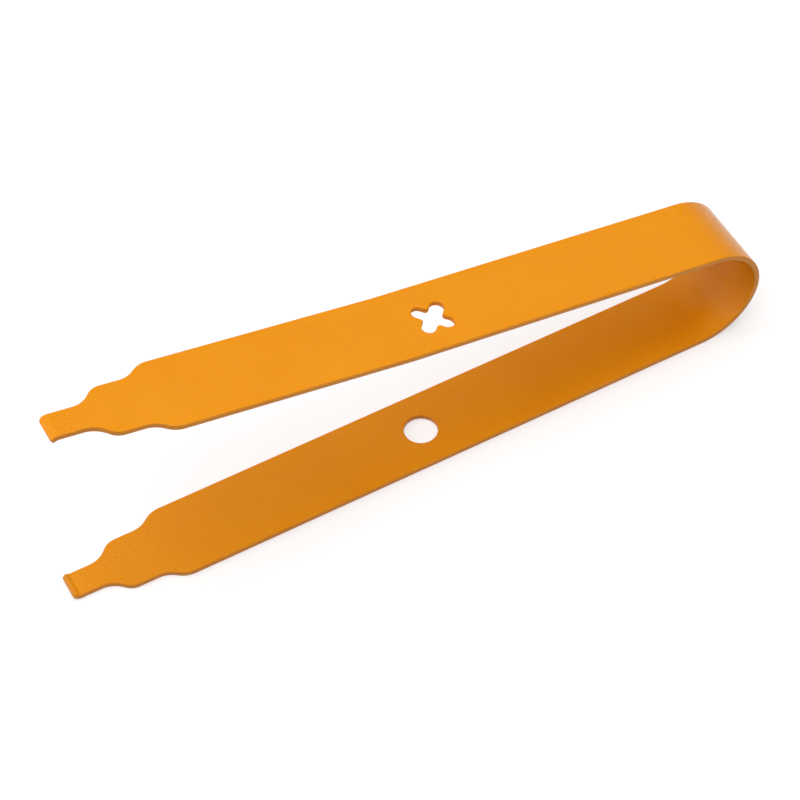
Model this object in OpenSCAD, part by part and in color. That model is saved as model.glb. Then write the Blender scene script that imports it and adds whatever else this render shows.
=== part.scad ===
// Switch puller: one sprung strip of painted steel, folded like tweezers.
// The lower arm lies flat along -X, the bend is at +X, and the strip's width runs along Y.
// Each arm narrows in two curved steps to a tip that is turned in to a short lip.

/* [Strip] */
// Width of the strip along the arms
strip_w = 12.3; // [10:0.1:15]
// Thickness of the sheet, with its paint
sheet_t = 0.9; // [0.6:0.1:1.4]

/* [Bend] */
// Inside radius of the U bend
bend_r = 8.4; // [5:0.2:14]
// Angle at which the upper arm opens away from the lower arm
splay = 9.25; // [3:0.05:16]

/* [Arms] */
// Reach of the lower arm, from the U bend to the outer edge of its lip
lower_reach = 101.4; // [92:0.1:120]
// Reach of the upper arm, from the U bend to the outer edge of its lip
upper_reach = 103.3; // [92:0.1:120]
// Distance from the U bend to the middle of the upper arm's slight outward bend
kink_at = 51; // [49:0.5:70]
// Angle of the slight outward bend
kink = 2.25; // [0.5:0.25:6]
// Inside radius of the slight outward bend
kink_r = 60; // [20:5:100]

/* [Tips] */
// Width of the middle step
mid_w = 8.7; // [6:0.1:9.4]
// Width of the tip
tip_w = 4.2; // [3:0.1:5]
// Length of the curved step from the strip to the middle step
first_step = 4.9; // [3.6:0.1:6]
// Length of the curved step from the middle step to the tip
second_step = 4.95; // [3.6:0.05:6]
// Radius of the first step's outer corner
first_r = 3.8; // [1:0.1:4.2]
// Radius of the second step's outer corner
second_r = 2.7; // [1:0.1:4]
// Straight slope between the two arcs of a step
slope_run = 0.4; // [0.2:0.1:1]
// Straight length of the middle step
mid_run = 2.9; // [1:0.1:6]
// Straight length of the lower tip, to the outer edge of its lip
lower_tip_run = 4.25; // [2.5:0.05:8]
// Straight length of the upper tip, to the outer edge of its lip
upper_tip_run = 4.8; // [2.5:0.05:8]
// Radius of a tip's two corners, seen from above
tip_corner_r = 0.35; // [0.2:0.05:1]
// Angle that a lip is turned in by
lip_angle = 35; // [20:5:90]
// Inside radius of the bend at a lip
lip_r = 1; // [0.2:0.1:2]
// Straight length of a lip past its bend
lip_run = 0.4; // [0.1:0.1:2]

/* [Cut-outs] */
// Distance from the U bend to the centre of each cut-out
cut_at = 44.8; // [30:0.2:48]
// Diameter of the round hole in the lower arm
hole_d = 5.1; // [3:0.1:7]
// Length of the cross in the upper arm, from one lobe's end to the opposite one
cross_l = 6.5; // [5.5:0.1:8]
// Width of a lobe of the cross
lobe_w = 2.25; // [1:0.05:2.6]
// Radius of the cross's four inner corners
cross_r = 0.45; // [0.1:0.05:0.6]
// Distance of the cross from the middle of the strip, toward its near edge
cross_shift = 0.4; // [0:0.1:1]

/* [Hidden] */
$fn = 96;
paint = "#E8940F";
// Middle of the sheet's thickness at the bends
bend_mid = bend_r + sheet_t / 2;
kink_mid = kink_r + sheet_t / 2;
lip_mid = lip_r + sheet_t / 2;
// Length that the kink takes from the straight runs on each side of its corner
kink_set = kink_mid * tan(kink / 2);
// Outer edge of a lip, past the end of its arm's straight run
lip_set = (lip_r + sheet_t) * sin(lip_angle) + lip_run * cos(lip_angle);
// How far a flat shape that cuts the sheet reaches past it
clear = 1;
// How far a tip's rounded corner reaches past its end, so that it meets the end at an angle
overshoot = 0.02;
// Largest share of a curved step's two radii that its outer corner may take
corner_share = 0.8;
// Largest turn of one straight facet in the bends and the curved steps
facet_turn = 4;
// Length of the two steps of an arm's end, from the start of the first one to the tip's start
steps_l = first_step + mid_run + second_step;
// Depth of a cut that passes through the sheet and a lip
through = 2 * (sheet_t + lip_r + lip_run + clear);
// Distance from the U bend's start to the middle of the whole length, where the origin stands
middle_at = (lower_reach - bend_r - sheet_t) / 2;

// Sum of the two radii of a curved step that drops by `drop` over `length`
function step_radii(length, drop) =
    (length * length + drop * drop - slope_run * slope_run) / (2 * drop);
// Steepest angle of that step
function step_angle(length, drop) =
    let (sum = step_radii(length, drop))
    atan2(length, sum - drop) - atan2(slope_run, sum);
// Facets that a turn is drawn with
function facets(turn) = max(4, ceil(abs(turn) / facet_turn));
// Points of an arc, its angles measured from +Y toward +X
function arc(centre, r, from, to) =
    let (n = facets(to - from))
    [for (i = [0:n]) let (angle = from + (to - from) * i / n)
        centre + r * [sin(angle), cos(angle)]];
// Edge of a curved step in plan from [x, wide / 2]: an outer corner, a straight slope, a root
function step_edge(x, wide, narrow, length, corner_r) =
    let (
        drop = (wide - narrow) / 2,
        angle = step_angle(length, drop),
        outer_r = min(corner_r, corner_share * step_radii(length, drop)),
        root_r = step_radii(length, drop) - outer_r
    )
    concat(
        arc([x, wide / 2 - outer_r], outer_r, 0, angle),
        arc([x + length, narrow / 2 + root_r], root_r, 180 + angle, 180)
    );

// The folded sheet is drawn through stations on its middle line, seen from its edge.
// A station is [x, z, heading]. This one lies `length` straight ahead of another.
function ahead(at, length) = at + length * [cos(at[2]), sin(at[2]), 0];
// Stations round a bend, from `at` to its end; a turn above 0 is to the left
function bend(at, middle_r, turn) =
    let (r = sign(turn) * middle_r, n = facets(turn))
    [for (i = [0:n]) let (heading = at[2] + turn * i / n) [
        at[0] + r * (sin(heading) - sin(at[2])),
        at[1] - r * (cos(heading) - cos(at[2])),
        heading
    ]];
// The last station of a list
function last(stations) = stations[len(stations) - 1];
// A bend and the straight run after it
function bend_and_run(at, middle_r, turn, length) =
    let (round = bend(at, middle_r, turn))
    concat(round, [ahead(last(round), length)]);
// A station's point on one face of the sheet: side is 1 for the left face, -1 for the right one
function on_face(at, side) =
    [at[0], at[1]] + side * sheet_t / 2 * [-sin(at[2]), cos(at[2])];

// The folded strip seen from its edge: lip, lower arm, U bend, upper arm with its kink, lip
module strip_side() {
    start = [0, sheet_t / 2, 0];
    lower_end = ahead(start, lower_reach - lip_set);
    lower_lip = bend_and_run(lower_end, lip_mid, lip_angle, lip_run);
    u_bend = bend_and_run(start, bend_mid, 180 - splay, kink_at - kink_set);
    upper_run = upper_reach - lip_set - kink_at - kink_set;
    slight_bend = bend_and_run(last(u_bend), kink_mid, -kink, upper_run);
    upper_lip = bend_and_run(last(slight_bend), lip_mid, lip_angle, lip_run);
    // The lower arm is drawn toward +X like the upper one, and mirrored here
    lower = [for (i = [len(lower_lip) - 1:-1:0])
        [-lower_lip[i][0], lower_lip[i][1], -lower_lip[i][2]]];
    stations = concat(
        lower,
        u_bend,
        [for (i = [1:len(slight_bend) - 1]) slight_bend[i]],
        [for (i = [1:len(upper_lip) - 1]) upper_lip[i]]
    );
    polygon(concat(
        [for (at = stations) on_face(at, -1)],
        [for (i = [len(stations) - 1:-1:0]) on_face(stations[i], 1)]
    ));
}

// What is cut off both sides of an arm's end in plan, from the start of its first step
module end_waste(tip_run) {
    end_l = steps_l + tip_run;
    mid_start = first_step + mid_run;
    corner_at = [end_l - tip_corner_r + overshoot, tip_w / 2 - tip_corner_r];
    outline = concat(
        step_edge(0, strip_w, mid_w, first_step, first_r),
        step_edge(mid_start, mid_w, tip_w, second_step, second_r),
        arc(corner_at, tip_corner_r, 0, 90)
    );
    // The first facet runs on backward, so that it meets the strip's side at an angle
    lead_in = outline[0] + 2 * (outline[0] - outline[1]);
    top = strip_w / 2 + clear;
    far = end_l + clear;
    for (side = [0, 1]) mirror([0, side])
        polygon(concat(
            [[lead_in.x, top], lead_in],
            [for (i = [1:len(outline) - 1]) outline[i]],
            [[far, corner_at.y], [far, top]]
        ));
}

// A slot with round ends, centred and along X
module slot(length, width) {
    square([length - width, width], center = true);
    for (side = [-1, 1]) translate([side * (length - width) / 2, 0]) circle(d = width);
}

// The cross: two slots at right angles, with their four inner corners rounded
module cross_shape() {
    rotate(45) {
        slot(cross_l, lobe_w);
        rotate(90) slot(cross_l, lobe_w);
        for (corner = [0:90:270]) rotate(corner) translate([lobe_w, lobe_w] / 2)
            difference() {
                square(cross_r);
                translate([cross_r, cross_r]) circle(r = cross_r);
            }
    }
}

// Cuts a flat shape through the lower arm: its x runs along the arm
module through_lower(distance) {
    translate([-distance, 0, sheet_t / 2]) mirror([1, 0, 0])
        linear_extrude(through, center = true) children();
}

// Cuts a flat shape through the upper arm in the same way, before or past its kink
module through_upper(distance) {
    past = max(distance - kink_at, 0);
    translate([0, 0, sheet_t / 2 + bend_mid])
        rotate([0, 180 + splay, 0])
            translate([distance - past, 0, -bend_mid])
                rotate([0, past > 0 ? kink : 0, 0])
                    translate([past, 0, 0])
                        linear_extrude(through, center = true) children();
}

// The strip: folded from one width of sheet, its ends cut to shape, its arms pierced
module bent_strip() {
    color(paint) translate([middle_at, 0, 0]) difference() {
        rotate([90, 0, 0]) linear_extrude(strip_w, center = true) strip_side();
        through_lower(lower_reach - steps_l - lower_tip_run) end_waste(lower_tip_run);
        through_upper(upper_reach - steps_l - upper_tip_run) end_waste(upper_tip_run);
        through_lower(cut_at) circle(d = hole_d);
        through_upper(cut_at) translate([0, -cross_shift]) cross_shape();
    }
}

bent_strip();
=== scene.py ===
# Keyboard switch puller: a strip of sheet steel, folded like tweezers and powder coated amber.
import math

import bpy
import numpy as np
from mathutils import Matrix, Vector
from mathutils.geometry import delaunay_2d_cdt


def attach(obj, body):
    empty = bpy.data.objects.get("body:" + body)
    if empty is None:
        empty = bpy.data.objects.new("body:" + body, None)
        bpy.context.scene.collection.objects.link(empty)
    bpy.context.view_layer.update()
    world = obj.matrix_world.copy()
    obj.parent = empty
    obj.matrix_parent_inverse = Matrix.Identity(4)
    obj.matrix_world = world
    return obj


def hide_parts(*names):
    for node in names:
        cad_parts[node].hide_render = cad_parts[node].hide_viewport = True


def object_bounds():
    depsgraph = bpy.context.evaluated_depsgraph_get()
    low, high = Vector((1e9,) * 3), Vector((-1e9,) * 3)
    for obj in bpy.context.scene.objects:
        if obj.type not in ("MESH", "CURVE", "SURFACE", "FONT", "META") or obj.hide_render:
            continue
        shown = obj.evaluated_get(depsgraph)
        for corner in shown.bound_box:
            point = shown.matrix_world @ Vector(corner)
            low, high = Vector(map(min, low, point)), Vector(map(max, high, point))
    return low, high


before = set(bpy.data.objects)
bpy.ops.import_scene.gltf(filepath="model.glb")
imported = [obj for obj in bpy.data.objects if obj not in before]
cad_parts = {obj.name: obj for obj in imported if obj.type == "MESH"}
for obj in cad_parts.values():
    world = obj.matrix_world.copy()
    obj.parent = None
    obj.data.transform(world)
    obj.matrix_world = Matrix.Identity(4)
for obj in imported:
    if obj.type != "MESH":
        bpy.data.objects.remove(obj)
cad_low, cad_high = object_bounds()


# The camera: a long lens looks down on the tips from the near side, as in the photograph.
# The image is 800 pixels wide.
MM = 0.001
AZIMUTH, ELEVATION, ROLL = math.radians(-27.42), math.radians(52.13), math.radians(-1.67)
AIM = Vector((-1.97, 0.13, 9.68)) * MM
DISTANCE = 374.4 * MM
IMAGE_WIDTH = 800
FOCAL_LENGTH_PX = 2614.5
SENSOR_WIDTH_MM = 36
NEAREST_M, FARTHEST_M = 0.02, 20

back = Vector((
    math.sin(AZIMUTH) * math.cos(ELEVATION),
    -math.cos(AZIMUTH) * math.cos(ELEVATION),
    math.sin(ELEVATION),
))
level_right = Vector((math.cos(AZIMUTH), math.sin(AZIMUTH), 0))
level_up = back.cross(level_right)
right = math.cos(ROLL) * level_right + math.sin(ROLL) * level_up
up = back.cross(right)

camera = bpy.data.objects.new("camera", bpy.data.cameras.new("camera"))
bpy.context.scene.collection.objects.link(camera)
camera.data.sensor_width = SENSOR_WIDTH_MM
camera.data.lens = FOCAL_LENGTH_PX / IMAGE_WIDTH * SENSOR_WIDTH_MM
camera.data.clip_start = NEAREST_M
camera.data.clip_end = FARTHEST_M
camera.matrix_world = Matrix.Translation(AIM + DISTANCE * back) @ Matrix(
    (right, up, back)
).transposed().to_4x4()
bpy.context.scene.camera = camera


# The strip: one piece of spring steel sheet, 0.9 mm thick with its paint, stamped flat and then
# folded: a lip at each tip, a U bend in the middle and a slight outward bend in the upper arm.
# Sizes are in millimetres and angles in degrees. Each reach is from the U bend to a lip's edge.
SHEET_T = 0.9
STRIP_W, MID_W, TIP_W = 12.3, 8.7, 4.2
LOWER_REACH, UPPER_REACH = 101.4, 103.3
LOWER_TIP_RUN, UPPER_TIP_RUN = 4.25, 4.8
MID_RUN = 2.9
# The U bend, and the angle at which the upper arm then opens away from the lower one
BEND_R = 8.4
SPLAY = 9.25
# The upper arm's slight outward bend
KINK_AT, KINK, KINK_R = 51, 2.25, 60
LIP_ANGLE, LIP_R, LIP_RUN = 35, 1, 0.4
# The two curved steps of an arm's end: length, and radius of the outer corner
FIRST_STEP, FIRST_R = 4.9, 3.8
SECOND_STEP, SECOND_R = 4.95, 2.7
# Straight slope of a step, and the largest share of its two radii that the outer corner takes
SLOPE_RUN = 0.4
CORNER_SHARE = 0.8
# Radii of the tips' corners, on the near side and the far side. They aren't alike on the
# real piece.
LOWER_CORNERS_R = (0.55, 0.25)
UPPER_CORNERS_R = (0.25, 0.75)
# The paint gathers on the edges of the cut-outs, so they are up to 0.1 mm smaller all round
# than in the bare steel
CUT_AT = 44.8
HOLE_D = 5
CROSS_L, LOBE_W, CROSS_R = 6.3, 2.05, 0.45
CROSS_SHIFT = 0.35
# The paint rounds the stamped edges by this radius
EDGE_R = 0.18
EDGE_STEPS = 4
# How finely the curves are drawn: the largest turn of one facet, the fewest facets of a turn,
# and the points of the round hole, of a lobe's end and of a corner between two lobes.
FACET_TURN = math.radians(2.5)
LEAST_FACETS = 4
HOLE_POINTS, LOBE_POINTS, CORNER_POINTS = 96, 25, 9

lip_turn = math.radians(LIP_ANGLE)
kink_turn = math.radians(KINK)
bend_turn = math.radians(180 - SPLAY)
lip_mid, bend_mid, kink_mid = (r + SHEET_T / 2 for r in (LIP_R, BEND_R, KINK_R))
lip_set = (LIP_R + SHEET_T) * math.sin(lip_turn) + LIP_RUN * math.cos(lip_turn)
kink_set = kink_mid * math.tan(kink_turn / 2)
lower_run = LOWER_REACH - lip_set
upper_run = UPPER_REACH - lip_set - KINK_AT - kink_set
steps_length = FIRST_STEP + MID_RUN + SECOND_STEP
middle_at = (LOWER_REACH - BEND_R - SHEET_T) / 2

# The folds from the lower tip to the upper one, as [length of the middle line, turn]
folds = [
    [LIP_RUN, 0],
    [lip_mid * lip_turn, lip_turn],
    [lower_run, 0],
    [bend_mid * bend_turn, bend_turn],
    [KINK_AT - kink_set, 0],
    [kink_mid * kink_turn, -kink_turn],
    [upper_run, 0],
    [lip_mid * lip_turn, lip_turn],
    [LIP_RUN, 0],
]
# The U bend's place in that list
U_BEND = 3
fold_starts = np.concatenate([[0], np.cumsum([length for length, turn in folds])])
lower_bend, upper_bend = fold_starts[U_BEND], fold_starts[U_BEND + 1]
flat_length = fold_starts[-1]


def folded(along, rise):
    """Where the folds take points of the flat sheet, and which way the sheet then runs.

    along is the distance from the lower tip on the middle line, rise the height over it
    toward the inner face. Returns x, z and the heading.
    """
    along = np.clip(along, 0, flat_length)
    x, z, heading = (np.zeros_like(along) for part in range(3))
    at = np.array([0.0, 0.0])
    facing = -lip_turn
    for fold, (length, turn) in enumerate(folds):
        start = fold_starts[fold]
        if fold == U_BEND:
            bend_start = at
        here = (along >= start) & (along <= start + length)
        done = along[here] - start
        if turn:
            radius = length / turn
            now = facing + done / radius
            x[here] = at[0] + radius * (np.sin(now) - math.sin(facing))
            z[here] = at[1] - radius * (np.cos(now) - math.cos(facing))
            at = at + radius * np.array([
                math.sin(facing + turn) - math.sin(facing),
                math.cos(facing) - math.cos(facing + turn),
            ])
        else:
            now = np.full_like(done, facing)
            x[here] = at[0] + done * math.cos(facing)
            z[here] = at[1] + done * math.sin(facing)
            at = at + length * np.array([math.cos(facing), math.sin(facing)])
        heading[here] = now
        facing += turn
    x += middle_at - bend_start[0] - rise * np.sin(heading)
    z += SHEET_T / 2 - bend_start[1] + rise * np.cos(heading)
    return x, z, heading


def facets(turn):
    """How many facets a turn is drawn with."""
    return max(LEAST_FACETS, math.ceil(abs(turn) / FACET_TURN))


def arc(centre, radius, begin, end):
    """Points round an arc, its angles measured from the strip's side toward its tip."""
    return [
        (centre[0] + radius * math.sin(angle), centre[1] + radius * math.cos(angle))
        for angle in np.linspace(begin, end, facets(end - begin) + 1)
    ]


def step(start, wide, narrow, length, corner_r):
    """A curved step's edge: an outer corner, a straight slope and a root."""
    drop = (wide - narrow) / 2
    radii = (length**2 + drop**2 - SLOPE_RUN**2) / (2 * drop)
    angle = math.atan2(length, radii - drop) - math.atan2(SLOPE_RUN, radii)
    outer_r = min(corner_r, CORNER_SHARE * radii)
    root_r = radii - outer_r
    return arc((start, wide / 2 - outer_r), outer_r, 0, angle) + arc(
        (start + length, narrow / 2 + root_r), root_r, math.pi + angle, math.pi
    )


def arm_edge(reach, tip_run, flat_end, corner_r):
    """One side of an arm, from the start of its first step to the middle of its tip's end.

    Distances are from the U bend. flat_end is that of the tip's end in the flat sheet, where
    the lip isn't folded yet.
    """
    first = reach - steps_length - tip_run
    second = first + FIRST_STEP + MID_RUN
    return np.array(
        step(first, STRIP_W, MID_W, FIRST_STEP, FIRST_R)
        + step(second, MID_W, TIP_W, SECOND_STEP, SECOND_R)
        + arc((flat_end - corner_r, TIP_W / 2 - corner_r), corner_r, 0, math.pi / 2)
    )


# The near and the far side of the flat blank, from the lower tip to the upper one
sides = []
for lower_corner_r, upper_corner_r in zip(LOWER_CORNERS_R, UPPER_CORNERS_R):
    lower_edge = arm_edge(LOWER_REACH, LOWER_TIP_RUN, lower_bend, lower_corner_r)
    upper_edge = arm_edge(UPPER_REACH, UPPER_TIP_RUN, flat_length - upper_bend, upper_corner_r)
    sides.append(np.vstack([
        lower_edge[::-1] * [-1, 1] + [lower_bend, 0],
        upper_edge + [upper_bend, 0],
    ]))

# The sheet also gets points where it turns, so that the bends are smooth. They are rounded, so
# that two folds share the point where they meet. Points of a side that lie too near to them are
# left out, because the rounded edge's rings would cross there.
ROUNDED_TO = 5
LEAST_GAP = 0.01
turning = np.unique(np.round(np.concatenate([
    np.linspace(start, end, facets(turn) + 1)
    for (length, turn), start, end in zip(folds, fold_starts, fold_starts[1:]) if turn
]), ROUNDED_TO))
edge_x = []
for side in sides:
    gap = np.abs(side[:, :1] - turning).min(1)
    edge_x.append(np.unique(np.concatenate([side[gap > LEAST_GAP, 0], turning])))
near, far = (
    np.column_stack([x, np.interp(x, side[:, 0], side[:, 1])]) for x, side in zip(edge_x, sides)
)
blank = np.vstack([near * [1, -1], far[::-1]])
near_turns, far_turns = (np.flatnonzero(np.isin(x, turning)).tolist() for x in edge_x)


def cross_outline():
    """The cross: four round-ended lobes with rounded corners between them."""
    lobe_r = LOBE_W / 2
    corner = lobe_r + CROSS_R
    lobe = [
        (CROSS_L / 2 - lobe_r + lobe_r * math.cos(angle), lobe_r * math.sin(angle))
        for angle in np.linspace(-math.pi / 2, math.pi / 2, LOBE_POINTS)
    ]
    inner = [
        (corner + CROSS_R * math.cos(angle), corner + CROSS_R * math.sin(angle))
        for angle in np.linspace(-math.pi / 2, -math.pi, CORNER_POINTS)
    ]
    points = []
    for quarter in range(4):
        turned = Matrix.Rotation(math.radians(45 + 90 * quarter), 2)
        points += [turned @ Vector(point) for point in lobe + inner]
    return np.array(points)


round_turn = np.linspace(0, 2 * math.pi, HOLE_POINTS, endpoint=False)
round_points = np.column_stack([np.cos(round_turn), np.sin(round_turn)])
hole = round_points * HOLE_D / 2 + [lower_bend - CUT_AT, 0]
cross = cross_outline() + [upper_bend + CUT_AT, -CROSS_SHIFT]


def outward(loop):
    """Directions out of the steel at a loop's points, long enough to keep an even offset."""
    edge = np.roll(loop, -1, 0) - loop
    edge /= np.linalg.norm(edge, axis=1)[:, None]
    normal = np.column_stack([edge[:, 1], -edge[:, 0]])
    middle = normal + np.roll(normal, 1, 0)
    middle /= np.linalg.norm(middle, axis=1)[:, None]
    return middle / (middle * normal).sum(1)[:, None]


def inside(points, loop):
    """Which points lie inside a loop."""
    begin, end = loop, np.roll(loop, -1, 0)
    x, y = points[:, :1], points[:, 1:]
    spans = (begin[:, 1] > y) != (end[:, 1] > y)
    climb = np.where(end[:, 1] == begin[:, 1], 1, end[:, 1] - begin[:, 1])
    crossing = begin[:, 0] + (y - begin[:, 1]) / climb * (end[:, 0] - begin[:, 0])
    return (spans & (x < crossing)).sum(1) % 2 == 1


# A rounded edge's rings run from the outer face, round the sheet's cut side, to the inner face
bevel = np.linspace(0, math.pi / 2, EDGE_STEPS + 1)
bevel_inset = EDGE_R * (1 - np.sin(bevel))
bevel_rise = EDGE_R * (1 - np.cos(bevel)) - SHEET_T / 2
ring_inset = np.concatenate([bevel_inset, bevel_inset[::-1]])
ring_rise = np.concatenate([bevel_rise, -bevel_rise[::-1]])
ring_tilt = np.concatenate([bevel - math.pi / 2, math.pi / 2 - bevel[::-1]])
last_ring = len(ring_inset) - 1

# A hole's loop runs the other way round, so that outward points into the hole
loops = [blank, hole[::-1], cross[::-1]]
loop_starts = np.cumsum([0] + [len(loop) * len(ring_inset) for loop in loops])
flat, rises, normals, faces = [], [], [], []
for loop, start in zip(loops, loop_starts):
    size = len(loop)
    out = outward(loop)
    unit = out / np.linalg.norm(out, axis=1)[:, None]
    for inset, rise, tilt in zip(ring_inset, ring_rise, ring_tilt):
        flat.append(loop - inset * out)
        rises.append(np.full(size, rise))
        normals.append(np.column_stack([unit * math.cos(tilt), np.full(size, math.sin(tilt))]))
    for ring in range(last_ring):
        for point in range(size):
            this = start + ring * size + point
            following = start + ring * size + (point + 1) % size
            faces.append([this, following, following + size, this + size])
flat, rises, normals = np.vstack(flat), np.concatenate(rises), np.vstack(normals)

# The two faces of the sheet are filled between the loops' first and last rings. The filling
# keeps only what lies inside its edges, and merges points that are nearer than this.
INSIDE_EDGES = 1
SAME_PLACE_MM = 1e-7
for ring in (0, last_ring):
    index, edges, rims = [], [], []
    for loop, start in zip(loops, loop_starts):
        size = len(loop)
        before = len(index)
        ring_start = start + ring * size
        index.extend(range(ring_start, ring_start + size))
        rims.append(flat[ring_start:ring_start + size])
        edges += [(before + i, before + (i + 1) % size) for i in range(size)]
    # A straight edge crosses the sheet at each place where it turns
    for near_at, far_at in zip(near_turns, far_turns):
        edges.append((near_at, len(blank) - 1 - far_at))
    corners = [Vector(flat[i]) for i in index]
    made = delaunay_2d_cdt(corners, edges, [], INSIDE_EDGES, SAME_PLACE_MM)
    places, triangles, place_ids = made[0], made[2], made[3]
    source = [ids[0] for ids in place_ids]
    centres = np.array([np.mean([places[i] for i in face], axis=0) for face in triangles])
    kept = inside(centres, rims[0]) & ~inside(centres, rims[1]) & ~inside(centres, rims[2])
    for face, keep in zip(triangles, kept):
        if keep:
            face = [index[source[i]] for i in face]
            faces.append(face if ring else face[::-1])

x, z, heading = folded(flat[:, 0], rises)
steel_places = np.column_stack([x, flat[:, 1], z]) * MM
steel_normals = np.column_stack([
    normals[:, 0] * np.cos(heading) - normals[:, 2] * np.sin(heading),
    normals[:, 1],
    normals[:, 0] * np.sin(heading) + normals[:, 2] * np.cos(heading),
])

strip_mesh = bpy.data.meshes.new("folded_strip")
strip_mesh.from_pydata(steel_places.tolist(), [], [[int(i) for i in face] for face in faces])
strip_mesh.shade_smooth()
strip_mesh.normals_split_custom_set_from_vertices(steel_normals.tolist())
strip = bpy.data.objects.new("folded_strip", strip_mesh)
bpy.context.scene.collection.objects.link(strip)


def linear(code):
    """The linear colour of an sRGB hex code."""
    parts = [int(code[i:i + 2], 16) / 255 for i in (1, 3, 5)]
    return [c / 12.92 if c <= 0.04045 else ((c + 0.055) / 1.055) ** 2.4 for c in parts] + [1]


def emptied(owner):
    """The node tree of a material or a world, with nothing in it."""
    owner.use_nodes = True
    owner.node_tree.nodes.clear()
    return owner.node_tree


def add(tree, kind, sockets=None, **settings):
    """A new node, with its settings and its sockets' values or links."""
    node = tree.nodes.new(kind)
    for name, value in settings.items():
        setattr(node, name, value)
    for name, value in (sockets or {}).items():
        if isinstance(value, bpy.types.NodeSocket):
            tree.links.new(value, node.inputs[name])
        else:
            node.inputs[name].default_value = value
    return node


# Powder coat: a polyester film sprayed as dust and baked. It hides the steel and gives an even
# amber with a satin gloss, and a fine sandy grain that only shows where a light is mirrored.
# The film is a little thicker in some places, where it looks deeper.
AMBER_THICK, AMBER_THIN = "#EB8F02", "#F29806"
FILM_MM = 9
# The real grain is about 0.1 mm, which is too fine to show, so it is drawn coarser. In the
# film's clear skin it is deeper, to break up the lights that are mirrored there.
GRAIN_MM = 0.38
GRAIN_DEPTH_MM, SKIN_GRAIN_DEPTH_MM = 0.08, 0.25
# Orange peel, the slow waves that the film flowed into as it was baked
PEEL_MM = 1.6
PEEL_DEPTH_MM = 0.02
PEEL_STRENGTH = 0.15
# Most light is scattered by the pigment in the resin, and the skin mirrors the rest
SATIN_LOW, SATIN_HIGH = 0.17, 0.27
RESIN_IOR = 1.5
PIGMENT_SPECULAR = 0.05
SKIN_WEIGHT, SKIN_ROUGHNESS = 0.4, 0.1

coat = bpy.data.materials.new("amber_powder_coat")
coat_tree = emptied(coat)
on_piece = add(coat_tree, "ShaderNodeTexCoord").outputs["Object"]
grain = add(coat_tree, "ShaderNodeTexNoise", {
    "Vector": on_piece, "Scale": 1 / (GRAIN_MM * MM), "Detail": 2, "Roughness": 0.6,
})
peel = add(coat_tree, "ShaderNodeTexNoise", {
    "Vector": on_piece, "Scale": 1 / (PEEL_MM * MM), "Detail": 1,
})
peel_bump = add(coat_tree, "ShaderNodeBump", {
    "Height": peel.outputs["Fac"], "Strength": PEEL_STRENGTH, "Distance": PEEL_DEPTH_MM * MM,
})
grain_bump = add(coat_tree, "ShaderNodeBump", {
    "Height": grain.outputs["Fac"], "Strength": 1, "Distance": GRAIN_DEPTH_MM * MM,
    "Normal": peel_bump.outputs["Normal"],
})
skin_bump = add(coat_tree, "ShaderNodeBump", {
    "Height": grain.outputs["Fac"], "Strength": 1, "Distance": SKIN_GRAIN_DEPTH_MM * MM,
})
film = add(coat_tree, "ShaderNodeTexNoise", {
    "Vector": on_piece, "Scale": 1 / (FILM_MM * MM), "Detail": 2,
})
tone = add(coat_tree, "ShaderNodeMix", {
    0: film.outputs["Fac"], 6: linear(AMBER_THICK), 7: linear(AMBER_THIN),
}, data_type="RGBA")
satin = add(coat_tree, "ShaderNodeMapRange", {
    "Value": grain.outputs["Fac"], "To Min": SATIN_LOW, "To Max": SATIN_HIGH,
})
paint = add(coat_tree, "ShaderNodeBsdfPrincipled", {
    "Base Color": tone.outputs[2], "Roughness": satin.outputs["Result"],
    "IOR": RESIN_IOR, "Specular IOR Level": PIGMENT_SPECULAR,
    "Normal": grain_bump.outputs["Normal"],
    "Coat Weight": SKIN_WEIGHT, "Coat Roughness": SKIN_ROUGHNESS, "Coat IOR": RESIN_IOR,
    "Coat Normal": skin_bump.outputs["Normal"],
})
add(coat_tree, "ShaderNodeOutputMaterial", {"Surface": paint.outputs["BSDF"]})
strip_mesh.materials.append(coat)

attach(strip, "root")
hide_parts("bent_strip")


# The floor: a large sheet of uncoated white paper that the lower arm lies on. It keeps the
# strip's soft shadow. It glows only where it is looked at, straight or in a mirroring face,
# so that it shows white without a stronger light on the strip.
PAPER_WHITE = "#C0C0C0"
PAPER_ROUGHNESS = 0.9
PAPER_GLOW = 0.55
# From the middle of the sheet to its edges, in metres
PAPER_REACH = 2
# The paper lies this much lower, so that its face and the arm's don't fall together
PAPER_DROP = 0.02 * MM

paper_top = cad_low.z - PAPER_DROP
paper_corners = [
    (side_x * PAPER_REACH, side_y * PAPER_REACH, paper_top)
    for side_x, side_y in ((-1, -1), (1, -1), (1, 1), (-1, 1))
]
paper_mesh = bpy.data.meshes.new("paper")
paper_mesh.from_pydata(paper_corners, [], [(0, 1, 2, 3)])
paper = bpy.data.objects.new("paper", paper_mesh)
bpy.context.scene.collection.objects.link(paper)

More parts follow.
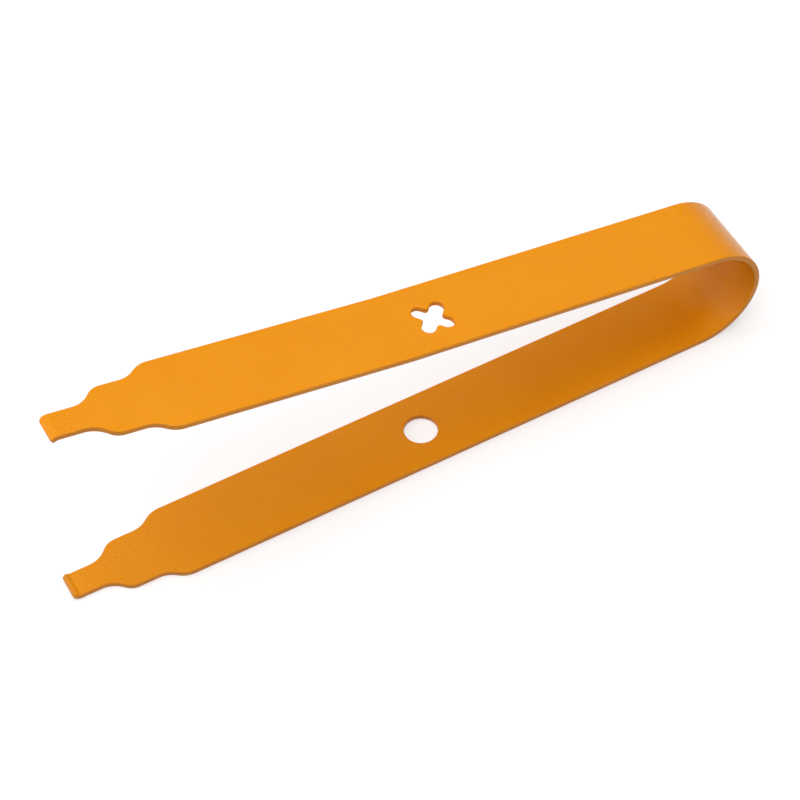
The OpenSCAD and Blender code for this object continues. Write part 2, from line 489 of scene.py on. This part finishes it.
matt = bpy.data.materials.new("white_paper")
matt_tree = emptied(matt)
path = add(matt_tree, "ShaderNodeLightPath")
seen = path.outputs["Is Camera Ray"]
for kind in ("Is Glossy Ray", "Is Transmission Ray"):
    either = add(matt_tree, "ShaderNodeMath", {0: seen, 1: path.outputs[kind]}, operation="MAXIMUM")
    seen = either.outputs[0]
glow = add(matt_tree, "ShaderNodeMath", {0: seen, 1: PAPER_GLOW}, operation="MULTIPLY")
white = add(matt_tree, "ShaderNodeBsdfPrincipled", {
    "Base Color": linear(PAPER_WHITE), "Roughness": PAPER_ROUGHNESS,
    "Emission Color": (1, 1, 1, 1), "Emission Strength": glow.outputs[0],
})
add(matt_tree, "ShaderNodeOutputMaterial", {"Surface": white.outputs["BSDF"]})
paper_mesh.materials.append(matt)


# The light: a large soft box overhead, a small window past the tips on the far side, and a
# room whose walls are paler than its ceiling. Places and sizes are in metres.
WALL_LIGHT, CEILING_LIGHT = 0.3, 0.1
# The rise of a direction at which the wall has wholly turned into the ceiling: 1 is straight up
CEILING_FROM = 0.5


def soft_box(name, place, target, width, height, watts):
    """A rectangular lamp at a place, turned to a target."""
    lamp = bpy.data.lights.new(name, "AREA")
    lamp.shape = "RECTANGLE"
    lamp.size = width
    lamp.size_y = height
    lamp.energy = watts
    box = bpy.data.objects.new(name, lamp)
    bpy.context.scene.collection.objects.link(box)
    box.location = place
    box.rotation_mode = "QUATERNION"
    box.rotation_quaternion = (Vector(target) - Vector(place)).to_track_quat("-Z", "Y")


soft_box("overhead", place=(0, -0.05, 0.7), target=(0, 0, 0), width=0.8, height=0.8, watts=5.6)
soft_box("window", place=(-0.66, 0.52, 0.55), target=(0, 0, 0.01), width=0.3, height=0.5, watts=2.4)

room = bpy.data.worlds.new("room")
bpy.context.scene.world = room
room_tree = emptied(room)
toward = add(room_tree, "ShaderNodeTexCoord").outputs["Generated"]
upward = add(room_tree, "ShaderNodeSeparateXYZ", {"Vector": toward}).outputs["Z"]
shade = add(room_tree, "ShaderNodeMapRange", {
    "Value": upward, "From Min": 0, "From Max": CEILING_FROM,
    "To Min": WALL_LIGHT, "To Max": CEILING_LIGHT,
}, interpolation_type="SMOOTHSTEP")
sky = add(room_tree, "ShaderNodeBackground", {
    "Color": (1, 1, 1, 1), "Strength": shade.outputs["Result"],
})
add(room_tree, "ShaderNodeOutputWorld", {"Surface": sky.outputs["Background"]})

bpy.context.scene.view_settings.view_transform = "Standard"
